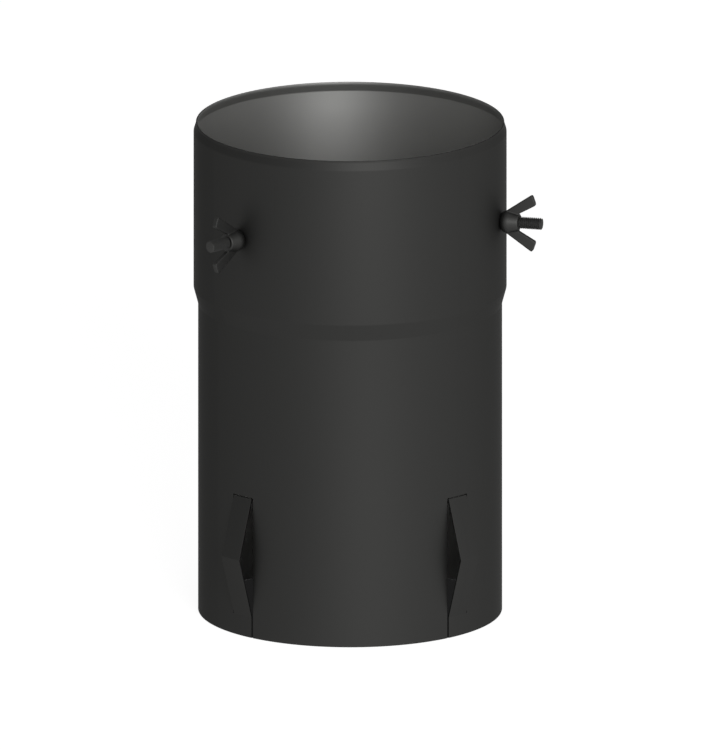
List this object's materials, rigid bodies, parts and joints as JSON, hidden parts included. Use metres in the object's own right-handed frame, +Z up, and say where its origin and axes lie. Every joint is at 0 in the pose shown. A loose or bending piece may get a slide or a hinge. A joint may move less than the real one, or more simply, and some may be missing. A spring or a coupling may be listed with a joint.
{
  "type": "chimney adapter",
  "caption": "Black sheet-steel chimney adapter: a flue spigot with sprung tongues below, and a wider socket above with wing-nut clamp screws that hold the pipe put into it.",
  "frame": {"origin": "on the pipe's axis, at the lower edge of the spigot, which it stands on", "axes": "+Z up the pipe's axis from spigot to socket; the picture looks along +Y, so -Y is the front"},
  "size_m": [0.1725, 0.1725, 0.2485],
  "materials": {
    "pipe_paint": "satin black heat-resistant paint",
    "screw_finish": "black-coated steel",
    "nut_finish": "black-coated cast steel"
  },
  "bodies": {
    "pipe": {"pipe_body": "pipe_paint"},
    "screw_front_left": {"clamp_screw_front_left": "screw_finish"},
    "nut_front_left": {"wing_nut_front_left": "nut_finish"},
    "screw_right": {"clamp_screw_right": "screw_finish"},
    "nut_right": {"wing_nut_right": "nut_finish"},
    "screw_rear": {"clamp_screw_rear": "screw_finish"},
    "nut_rear": {"wing_nut_rear": "nut_finish"}
  },
  "joints": [
    {"name": "screw_front_left_travel", "type": "slide", "parent": "pipe", "child": "screw_front_left", "axis": [-0.7071, -0.7071, 0], "range_m": [0, 0.00375]},
    {"name": "nut_front_left_turn", "type": "hinge", "parent": "screw_front_left", "child": "nut_front_left", "pos_m": [-0.05798, -0.05798, 0.203], "axis": [-0.7071, -0.7071, 0], "range_deg": [0, 1350]},
    {"name": "screw_right_travel", "type": "slide", "parent": "pipe", "child": "screw_right", "axis": [0.9659, -0.2588, 0], "range_m": [0, 0.00375]},
    {"name": "nut_right_turn", "type": "hinge", "parent": "screw_right", "child": "nut_right", "pos_m": [0.07921, -0.02122, 0.203], "axis": [0.9659, -0.2588, 0], "range_deg": [0, 1350]},
    {"name": "screw_rear_travel", "type": "slide", "parent": "pipe", "child": "screw_rear", "axis": [-0.2588, 0.9659, 0], "range_m": [0, 0.00375]},
    {"name": "nut_rear_turn", "type": "hinge", "parent": "screw_rear", "child": "nut_rear", "pos_m": [-0.02122, 0.07921, 0.203], "axis": [-0.2588, 0.9659, 0], "range_deg": [0, 1350]}
  ],
  "couplings": [
    {"joint": "screw_front_left_travel", "follows": "nut_front_left_turn", "m_per_rad": 0.00015915},
    {"joint": "screw_right_travel", "follows": "nut_right_turn", "m_per_rad": 0.00015915},
    {"joint": "screw_rear_travel", "follows": "nut_rear_turn", "m_per_rad": 0.00015915}
  ]
}
